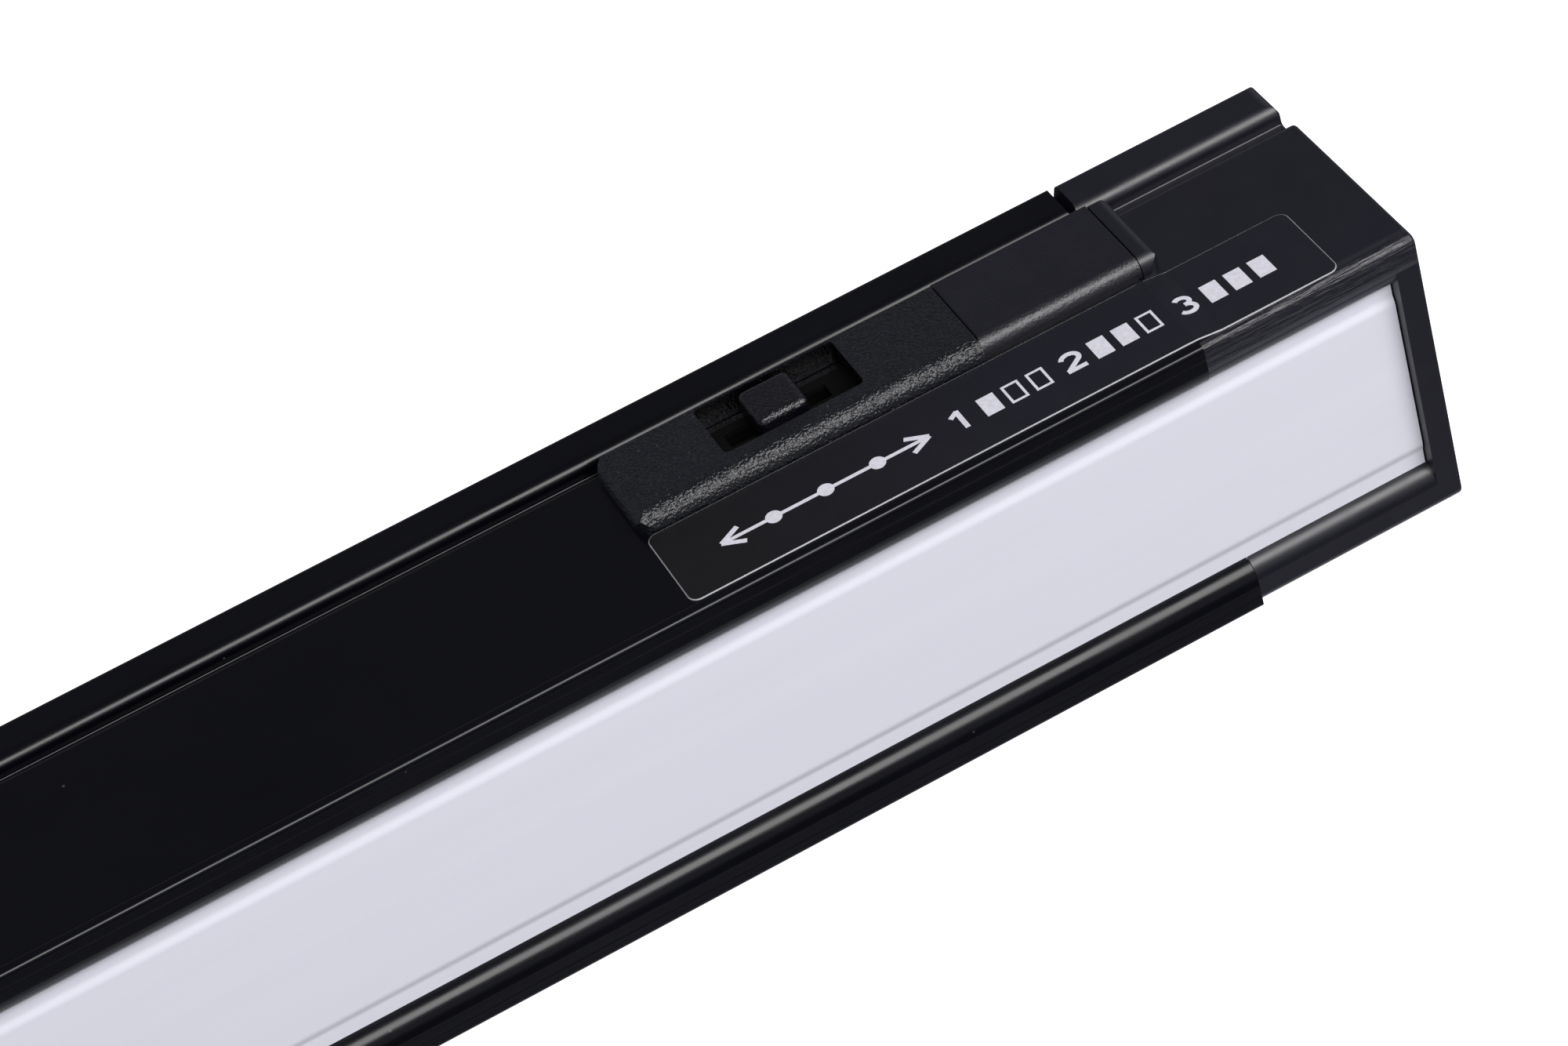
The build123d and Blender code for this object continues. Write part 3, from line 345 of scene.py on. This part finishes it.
def sparked():
    """The block's pebbled moulding, with smooth walls in its window, which an insert cuts, painted darker as
    shade in the recess.
    """
    material = moulded("sparked_moulding", (0.0014, 0.0018, 0.0044), gloss=0.37, grain=3000.0, depth=0.00022,
                       strength=1.0, sheen=0.72)
    tree = Tree.of(material)
    inside = window_shade_and_gloss_mask(tree)
    colour = tree.shader.inputs["Base Color"].links[0].from_socket
    # blend the painted shade over the block's colour inside the window
    tree.join(tree.blend(inside, colour, WALL_PAINTED_SHADE), tree.shader, "Base Color")
    gloss = tree.shader.inputs["Roughness"].links[0].from_socket
    smooth = tree.add("ShaderNodeMix")
    tree.links.new(inside, smooth.inputs[0])
    tree.links.new(gloss, smooth.inputs[2])
    smooth.inputs[3].default_value = WALL_GLOSS
    tree.join(smooth.outputs[0], tree.shader, "Roughness")
    return material


cap_finish = capped()
block_finish = sparked()
cover_finish = moulded("smooth_moulding", (0.0046, 0.0046, 0.0092), gloss=0.40, grain=3200.0, depth=0.00007,
                       strength=0.8, sheen=0.78)
knob_finish = moulded("knob_moulding", (0.0010, 0.0010, 0.0036), gloss=0.34, grain=3200.0, depth=0.00016,
                      strength=1.0, sheen=0.72)
print("moulded finishes: caps, block, cover, knob")


# %% [markdown]
# ### The opal strip
#
# The strip is extruded from milky plastic.  It is nearly white with a cool violet cast, has a soft sheen, and
# light soaks a short way into it, so its edges look a little brighter than paint would.

# %% Finish of the opal strip
def opal():
    """Milky extruded plastic with faint streaks along its length."""
    tree = Tree("opal_strip")
    streaks = tree.spread(tree.noise(220.0, 2.0, (0.01, 1.0, 1.0)), 0.0, 1.0)
    tree.join(tree.blend(streaks, (0.79, 0.79, 0.87), (0.82, 0.82, 0.90)), tree.shader, "Base Color")
    tree.join(tree.spread(tree.noise(80.0), 0.62, 0.72), tree.shader, "Roughness")
    tree.shader.inputs["Specular IOR Level"].default_value = 0.25
    tree.bumps((tree.noise(1500.0, 2.0, (0.01, 1.0, 1.0)), 0.000004, 0.3))
    return tree.material


opal_finish = opal()
print("opal finish:", opal_finish.name)


# %% [markdown]
# ### The label
#
# The label is black tape with a matt clear film on top.  The film has a very fine tooth, and towards one end
# its colour is warmer and darker.  Its cut edge and the printed marks are separate pieces, made further down.

# %% Finish of the label tape
label_low, label_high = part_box("label")
WARM_START = 0.0008              # from the label's left end, where the warmer tone is strongest
WARM_END = 0.0428                # and where it has gone
TAPE_BLACK = (0.0092, 0.0092, 0.0152)
TAPE_BROWN = (0.0064, 0.0054, 0.0062)


def tape():
    """Black laminated tape: fine tooth, and a warmer, darker tone that fades along the strip."""
    tree = Tree("label_tape")
    # the colour turns warmer and darker towards the label's left end, fading out along the strip
    rubbed = tree.ramp(tree.axes()["X"], label_low.x + WARM_START, label_low.x + WARM_END, 1.0, 0.0)
    tree.join(tree.blend(rubbed, TAPE_BLACK, TAPE_BROWN), tree.shader, "Base Color")
    tree.join(tree.spread(tree.noise(400.0, 4.0), 0.36, 0.44), tree.shader, "Roughness")
    tree.bumps((tree.noise(500.0, 2.0), 0.00002, 0.3), (tree.noise(6000.0, 2.0), 0.000010, 0.4))
    return tree.material


label_finish = tape()
print("label finish:", label_finish.name)


# %% [markdown]
# ### Everything else
#
# Screws, brass, boards, chips, cans and leads use the common recipe with their own colours, gloss and grain.
# They are seen at the ends of the batten or inside it.

# %% Finishes of the small parts
small_finishes = {
    "steel": plain_finish("zinc_steel", (0.52, 0.53, 0.55), 0.30, 2500.0, 0.00001, 1.0, 0.10),
    "brass": plain_finish("plain_brass", (0.74, 0.55, 0.24), 0.28, 2500.0, 0.00001, 1.0, 0.10),
    "rubber": plain_finish("black_rubber", (0.012, 0.012, 0.012), 0.60, 2600.0, 0.00003),
    "switch": plain_finish("switch_moulding", (0.002, 0.002, 0.002), 0.60, 2600.0, 0.00006, sheen=0.15),
    "solder_mask": plain_finish("green_solder_mask", (0.012, 0.11, 0.045), 0.30, 1800.0, 0.00001),
    "white_mask": plain_finish("white_solder_mask", (0.78, 0.78, 0.75), 0.35, 1800.0, 0.00001, 0.0, 0.03),
    "warm": plain_finish("warm_phosphor", (0.86, 0.48, 0.10), 0.45, 2600.0, 0.00002, 0.0, 0.06),
    "cool": plain_finish("cool_phosphor", (0.84, 0.78, 0.28), 0.45, 2600.0, 0.00002, 0.0, 0.06),
    "nylon": plain_finish("natural_nylon", (0.66, 0.64, 0.57), 0.42, 2200.0, 0.00002, 0.0, 0.05),
    "tray": plain_finish("white_tray", (0.70, 0.70, 0.67), 0.48, 1800.0, 0.00002, 0.0, 0.04),
    "glaze": plain_finish("white_glaze", (0.68, 0.64, 0.55), 0.15, 1500.0, 0.00001, 0.0, 0.05),
    "epoxy": plain_finish("blue_epoxy", (0.02, 0.06, 0.22), 0.25, 1500.0, 0.00002),
    "ferrite": plain_finish("grey_ferrite", (0.045, 0.045, 0.048), 0.65, 2600.0, 0.00003),
    "chip": plain_finish("black_epoxy", (0.016, 0.016, 0.017), 0.50, 3200.0, 0.00002),
    "sleeve": plain_finish("shrink_sleeve", (0.010, 0.014, 0.060), 0.28, 1500.0, 0.00001),
    "grey_lead": plain_finish("grey_insulation", (0.16, 0.16, 0.17), 0.40, 2000.0, 0.00001),
    "green_lead": plain_finish("green_insulation", (0.05, 0.20, 0.02), 0.40, 2000.0, 0.00001),
    "red_lead": plain_finish("red_insulation", (0.30, 0.015, 0.010), 0.40, 2000.0, 0.00001),
}
print("small finishes:", len(small_finishes))


# %% Give every solid its finish
finish_of = {
    "housing_profile": housing_finish, "diffuser": opal_finish, "label": label_finish,
    "end_cap_switch_end": cap_finish, "end_cap_supply_end": cap_finish, "cable_clamp": cap_finish,
    "switch_housing": block_finish, "raceway_cover": cover_finish, "switch_knob": knob_finish,
}
small_of = {
    "steel": ["end_cap_screws", "switch_board_screws", "led_board_screws", "driver_screws", "terminal_screws",
              "earth_screw", "cable_clamp_screws"],
    "brass": ["switch_contact_bridge", "switch_terminals", "earth_tag"],
    "rubber": ["lead_bush", "cable_grommet"],
    "switch": ["switch_body"],
    "solder_mask": ["switch_board", "driver_board"],
    "white_mask": ["led_board"],
    "warm": ["leds_warm"],
    "cool": ["leds_cool"],
    "nylon": ["led_connector", "terminal_block"],
    "tray": ["driver_tray"],
    "glaze": ["driver_fuse"],
    "epoxy": ["driver_varistor"],
    "ferrite": ["driver_choke", "driver_transformer"],
    "chip": ["driver_rectifier", "driver_controller", "driver_transistor", "driver_selector_chip"],
    "sleeve": ["driver_input_capacitor", "driver_output_capacitors"],
    "grey_lead": ["supply_leads", "switch_leads"],
    "green_lead": ["earth_lead"],
    "red_lead": ["led_leads"],
}
for finish, names in small_of.items():
    for name in names:
        finish_of[name] = small_finishes[finish]
for name, node in nodes.items():
    node.data.materials.clear()
    node.data.materials.append(finish_of[name])
print("solids finished:", len(finish_of))


# %% [markdown]
# ## Fine pieces on the label
#
# The label says which way the switch slides and numbers its three positions.  Each printed mark is a ribbon
# of ink: a line walked along a path, as wide as the pen, and a few hundredths of a millimetre thick.  The
# path is a function of one parameter, so a straight stroke, an arc and a whole numeral all go through the
# same code.

# %% Where the label lies
housing_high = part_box("housing_profile")[1]
SIDE_Z = housing_high.z
SEAM_X = housing_high.x
CAP_STEP = 0.0004               # the cap's face lies this much lower than the housing's
RAMP = 0.0032
LABEL_THICKNESS = label_high.z - SIDE_Z
INK = 0.00003
MARK_HEIGHT = 0.0033
MARK_DROP = 0.0002              # the print stands a little below the label's middle
PEN = 0.00062
mark_middle_y = (label_low.y + label_high.y) / 2 - MARK_DROP
print("label spans", round((label_high.x - label_low.x) * 1000, 1), "mm")


def label_surface(x):
    """Height of the label's face at x: level on the housing, a straight ramp, then level on the cap."""
    fall = np.clip((x - SEAM_X) / RAMP, 0.0, 1.0)
    return SIDE_Z + LABEL_THICKNESS - CAP_STEP * fall


# %% A helper that turns grids into meshes
def grid_faces(rows, columns, wrap=False):
    """Quads of a grid whose point (i, j) has the number i * columns + j.

    Wrap joins the last column to the first.
    """
    i, j = np.meshgrid(np.arange(rows - 1), np.arange(columns if wrap else columns - 1), indexing="ij")
    here = i * columns
    following = here + columns
    k = (j + 1) % columns
    return np.stack([here + j, here + k, following + k, following + j], -1).reshape(-1, 4)


def mesh_piece(name, parts, material, body, smooth=False):
    """Join (points, quads) parts into one mesh object with outward faces, and let it ride on a body."""
    offset = 0
    all_points = []
    all_faces = []
    for points, faces in parts:
        all_points.append(points)
        all_faces.append(faces + offset)
        offset += len(points)
    mesh = bpy.data.meshes.new(name)
    mesh.from_pydata(np.concatenate(all_points).tolist(), [], np.concatenate(all_faces).tolist())
    mesh.materials.append(material)
    if smooth:
        mesh.shade_smooth()
    piece = bpy.data.objects.new(name, mesh)
    bpy.context.scene.collection.objects.link(piece)
    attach(piece, body)
    print(name, "has", len(mesh.polygons), "faces")


def ribbon(path, width, lift=0.0):
    """A flat bar of ink along a path in the label's plane.

    The path is an (n, 2) array.  Its direction t is the difference of neighbouring points, and the two edges
    are path + n * width / 2 and path - n * width / 2, where n is t turned by a quarter.  The bar's section is
    a rectangle from the label's face up by the thickness of the ink and the lift, with both ends closed.
    Strokes that cross get different lifts, so no two faces lie in one plane.
    """
    step = np.gradient(path, axis=0)
    step /= np.linalg.norm(step, axis=1)[:, None]
    across = np.stack([-step[:, 1], step[:, 0]], -1) * width / 2
    left = path + across
    right = path - across
    corners = []
    for edge, rise in ((left, 0.0), (right, 0.0), (right, INK + lift), (left, INK + lift)):
        corners.append(np.column_stack([edge, label_surface(edge[:, 0]) + rise]))
    points = np.stack(corners, 1).reshape(-1, 3)
    faces = grid_faces(len(path), 4, wrap=True)
    last = len(points) - 4
    ends = np.array([[0, 3, 2, 1], [last, last + 1, last + 2, last + 3]])
    return points, np.concatenate([faces, ends])


def arc(centre, radius, start, stop, stretch=1.0, count=24):
    """Points of a circular arc, angles in degrees, widened in x by stretch."""
    angle = np.radians(np.linspace(start, stop, count))
    return np.column_stack([centre[0] + stretch * radius * np.cos(angle), centre[1] + radius * np.sin(angle)])


def straight(start, stop, count=8):
    """Points of a straight stroke."""
    return np.linspace(start, stop, count)


# %% [markdown]
# ### Numerals
#
# A numeral is one or two strokes in a box one unit high: a one is a short flag and a stem, a two is an arc
# that runs into a slanting stroke and a foot, and a three is two arcs that meet in the middle.

# %% Strokes of the three numerals
def one():
    """Flag and stem."""
    return [straight((0.08, 0.74), (0.42, 0.96)), straight((0.40, 1.0), (0.40, 0.0))]


def two():
    """Arc over the top, slant down to the left, foot along the bottom."""
    top = arc((0.40, 0.68), 0.26, 165, -30, 1.25)
    slant = straight(top[-1], (0.06, 0.10), 10)[1:]
    return [np.concatenate([top, slant]), straight((0.02, 0.09), (0.78, 0.09))]


def three():
    """Two arcs, the lower one a little larger."""
    return [arc((0.38, 0.71), 0.20, 150, -90, 1.35), arc((0.38, 0.29), 0.235, 90, -150, 1.35)]


def placed(stroke, x, y, size):
    """A unit stroke moved to (x, y) and scaled to size."""
    return np.array([x, y]) + np.asarray(stroke) * size


numerals = [one(), two(), three()]
print("numerals drawn:", len(numerals))


# %% [markdown]
# ### Level bars and the slide arrow
#
# Beside each numeral stand three upright bars, and as many are filled as the position's number, so the
# positions can be told apart at a glance.  In front of them a long arrow with a head at each end and three
# dots says that the knob slides between three places.

# %% Lay out the marks
ARROW_START = label_low.x + 0.0066
ARROW_STOP = label_low.x + 0.0332
ARROW_HEAD = 0.0026
HEAD_HALF = MARK_HEIGHT * 0.42
DOT_RADIUS = 0.0010
GROUP_STARTS = [label_low.x + step for step in (0.0361, 0.0505, 0.0653)]
NUMERAL_STEP = 0.0039
BAR_WIDTH = 0.0022
BAR_GAP = 0.0010
OUTLINE = 0.00032
LIFT = 0.000004


def level_bars(x, filled):
    """Three upright bars from x: the first ones solid, the rest only outlined."""
    low = mark_middle_y - MARK_HEIGHT / 2
    high = mark_middle_y + MARK_HEIGHT / 2
    strokes = []
    for i in range(3):
        left = x + i * (BAR_WIDTH + BAR_GAP)
        right = left + BAR_WIDTH
        middle = (left + right) / 2
        if i < filled:
            strokes.append(ribbon(straight((middle, low), (middle, high)), BAR_WIDTH))
        else:
            h = OUTLINE / 2
            strokes.append(ribbon(straight((left + h, low), (left + h, high)), OUTLINE))
            strokes.append(ribbon(straight((right - h, low), (right - h, high)), OUTLINE))
            strokes.append(ribbon(straight((left + OUTLINE, low + h), (right - OUTLINE, low + h)), OUTLINE))
            strokes.append(ribbon(straight((left + OUTLINE, high - h), (right - OUTLINE, high - h)), OUTLINE))
    return strokes


def dot(centre, radius, count=32):
    """A round dot of ink.

    It is a polar grid, the point at radius * s and angle a, with a wall down to the label at its rim.
    """
    angle = np.linspace(0, 2 * np.pi, count, endpoint=False)
    rings = []
    for reach, rise in ((0.02, 1.0), (0.5, 1.0), (1.0, 1.0), (1.0, 0.0)):
        x = centre[0] + radius * reach * np.cos(angle)
        y = centre[1] + radius * reach * np.sin(angle)
        rings.append(np.column_stack([x, y, label_surface(x) + rise * (INK + 4 * LIFT)]))
    points = np.concatenate(rings)
    faces = grid_faces(4, count, wrap=True)[:, ::-1]
    cap = np.array([[0, i, i + 1, i + 2] for i in range(1, count - 2, 2)])
    return points, np.concatenate([faces, cap])


def slide_arrow():
    """A shaft with a head at each end and three dots on it."""
    y = mark_middle_y
    inset = 0.0004
    strokes = [ribbon(straight((ARROW_START + inset, y), (ARROW_STOP - inset, y), 30), PEN * 0.8)]
    for tip, way in ((ARROW_START, 1), (ARROW_STOP, -1)):
        for side in (-1, 1):
            wing = (tip + way * ARROW_HEAD, y + side * HEAD_HALF)
            strokes.append(ribbon(straight((tip, y), wing, 10), PEN, LIFT * (2 + side)))
    for share in (0.25, 0.5, 0.75):
        x = ARROW_START + share * (ARROW_STOP - ARROW_START)
        strokes.append(dot((x, y), DOT_RADIUS))
    return strokes


marks = slide_arrow()
for number, start in enumerate(GROUP_STARTS):
    for layer, stroke in enumerate(numerals[number]):
        path = placed(stroke, start, mark_middle_y - MARK_HEIGHT / 2, MARK_HEIGHT)
        marks.append(ribbon(path, PEN, LIFT * layer))
    marks += level_bars(start + NUMERAL_STEP, number + 1)
print("strokes:", len(marks))


# %% Print the marks
def ink():
    """Pale ink with faint thin spots."""
    tree = Tree("pale_ink")
    patchy = tree.spread(tree.noise(2200.0, 3.0), 0.0, 1.0)
    tree.join(tree.blend(patchy, (0.66, 0.65, 0.72), (0.78, 0.77, 0.85)), tree.shader, "Base Color")
    tree.join(tree.spread(tree.noise(900.0), 0.38, 0.50), tree.shader, "Roughness")
    tree.bumps((tree.noise(6000.0, 2.0), 0.00001, 0.3))
    return tree.material


mesh_piece("label_marks", marks, ink(), "batten")


# %% [markdown]
# ### The label's cut edge
#
# Laminated tape has a clear film on top, and where the knife went through, the film's edge is rounded and
# catches the light as a thin line round the label.  It is a small round bead carried round the label's
# outline, a rectangle with rounded corners.  Its pale grey colour is a painted highlight over the glossy bead.

# %% Bead of clear film round the label
EDGE_RADIUS = 0.00013
EDGE_INSET = 0.00003
EDGE_SINK = 0.97                # of the radius, so the bead's top is just above the label's face
LABEL_CORNER = 0.0012


def label_outline(inset, count=10):
    """Closed outline of the label: four straight sides joined by quarter circles."""
    x0, x1 = label_low.x + inset, label_high.x - inset
    y0, y1 = label_low.y + inset, label_high.y - inset
    r = LABEL_CORNER - inset
    corners = (((x1 - r, y0 + r), -90), ((x1 - r, y1 - r), 0),
               ((x0 + r, y1 - r), 90), ((x0 + r, y0 + r), 180))
    stations = [arc(centre, r, start, start + 90, 1.0, count) for centre, start in corners]
    points = []
    for k, corner in enumerate(stations):
        following = stations[(k + 1) % 4]
        points.append(corner)
        points.append(straight(corner[-1], following[0], 80)[1:-1])
    return np.concatenate(points)


def round_bead(path, radius, sides=8):
    """A closed tube: point (i, a) is path[i] + radius * (cos a * outward + sin a * up)."""
    step = np.roll(path, -1, axis=0) - np.roll(path, 1, axis=0)
    step /= np.linalg.norm(step, axis=1)[:, None]
    outward = np.column_stack([step[:, 1], -step[:, 0], np.zeros(len(path))])
    up = np.array([0.0, 0.0, 1.0])
    angle = np.linspace(0, 2 * np.pi, sides, endpoint=False)[None, :, None]
    centre = np.column_stack([path, label_surface(path[:, 0]) - radius * EDGE_SINK])[:, None, :]
    points = centre + radius * (np.cos(angle) * outward[:, None, :] + np.sin(angle) * up)
    points = np.concatenate([points, points[:1]])
    faces = grid_faces(len(points), sides, wrap=True)
    faces = np.where(faces >= len(path) * sides, faces - len(path) * sides, faces)
    return points[:-1].reshape(-1, 3), faces[:, ::-1]


# painted highlight: the bead is coloured pale grey so that its line shows brighter than a clear film's edge
# would
film_edge_highlight_finish = plain_finish("film_edge_painted_highlight", (0.40, 0.40, 0.42), 0.22, 5000.0, 0.00001, sheen=0.9)
mesh_piece("label_edge", [round_bead(label_outline(EDGE_INSET), EDGE_RADIUS)], film_edge_highlight_finish,
           "batten", smooth=True)


# %% [markdown]
# ## The studio
#
# A black glossy piece shows what surrounds it more than what it is.  One large soft panel stands in front and
# above, so each rounded ridge carries one clean line of light; the rest of the room stays dim, so the flat
# faces stay black.  The floor is white and glows a little, which makes the background clean, and light that
# bounces off the batten does not see it, so the lips stay dark underneath.
#
# The room's own light goes by height.  Straight below it is pale, which lifts the inside of the near lip; up
# to the horizon it is nearly black; a pale band of wall just above the horizon shows the back; and the
# ceiling is grey.

# %% Floor
FLOOR_GLOW = 0.7
FLOOR_HALF = 4.0


def floor_finish():
    """White paper sweep with a little glow."""
    tree = Tree("white_sweep")
    tree.join(tree.blend(tree.spread(tree.noise(4.0), 0.0, 1.0), (0.90, 0.90, 0.90), (0.92, 0.92, 0.92)),
              tree.shader, "Base Color")
    tree.shader.inputs["Roughness"].default_value = 0.9
    tree.shader.inputs["Emission Color"].default_value = (1.0, 1.0, 1.0, 1.0)
    tree.shader.inputs["Emission Strength"].default_value = FLOOR_GLOW
    return tree.material


def lay_floor(z):
    """A square sheet at height z, hidden from light that bounces off the batten."""
    signs = ((-1, -1), (1, -1), (1, 1), (-1, 1))
    mesh = bpy.data.meshes.new("floor")
    mesh.from_pydata([(FLOOR_HALF * x, FLOOR_HALF * y, z) for x, y in signs], [], [(0, 1, 2, 3)])
    mesh.materials.append(floor_finish())
    floor = bpy.data.objects.new("floor", mesh)
    bpy.context.scene.collection.objects.link(floor)
    floor.visible_glossy = False
    floor.visible_diffuse = False


floor_z = cad_box[0][2]
lay_floor(floor_z)
print("floor at z =", round(floor_z, 4))


# %% Lights
SUBJECT = Vector((0.23, -0.018, 0.010))
PANEL_PLACE = Vector((0.43, -0.68, 0.74))
PANEL_WIDTH = 1.40
PANEL_HEIGHT = 0.46
PANEL_POWER = 14.2
ROOM_TINT = (0.88, 0.90, 1.0)
# height, from 0 straight below through 0.5 level to 1 straight above, and the light from there
ROOM_LIGHT = ((0.0, 0.90), (0.09, 0.45), (0.17, 0.06), (0.42, 0.06), (0.50, 0.34), (0.60, 0.34), (0.72, 0.115))


def soft_panel(name, place, target, width, height, power):
    """A rectangular soft light at a place, turned to face a target."""
    data = bpy.data.lights.new(name, "AREA")
    data.shape = "RECTANGLE"
    data.size = width
    data.size_y = height
    data.energy = power
    panel = bpy.data.objects.new(name, data)
    panel.location = place
    panel.rotation_euler = (target - place).to_track_quat("-Z", "Y").to_euler()
    bpy.context.scene.collection.objects.link(panel)


def dim_room():
    """A world whose light is a colour ramp over height, half of z + 1."""
    world = bpy.data.worlds.new("room")
    world.use_nodes = True
    nodes = world.node_tree.nodes
    links = world.node_tree.links
    place = nodes.new("ShaderNodeTexCoord")
    axes = nodes.new("ShaderNodeSeparateXYZ")
    links.new(place.outputs["Generated"], axes.inputs["Vector"])
    half = nodes.new("ShaderNodeMapRange")
    half.inputs["From Min"].default_value = -1.0
    links.new(axes.outputs["Z"], half.inputs["Value"])
    ramp = nodes.new("ShaderNodeValToRGB")
    links.new(half.outputs["Result"], ramp.inputs["Fac"])
    stops = ramp.color_ramp.elements
    for k, (height, light) in enumerate(ROOM_LIGHT):
        stop = stops[k] if k < 2 else stops.new(height)
        stop.position = height
        stop.color = (*shade(ROOM_TINT, light), 1.0)
    links.new(ramp.outputs["Color"], nodes["Background"].inputs["Color"])
    nodes["Background"].inputs["Strength"].default_value = 1.0
    return world


soft_panel("front_panel", PANEL_PLACE, SUBJECT, PANEL_WIDTH, PANEL_HEIGHT, PANEL_POWER)
bpy.context.scene.world = dim_room()
print("studio ready")
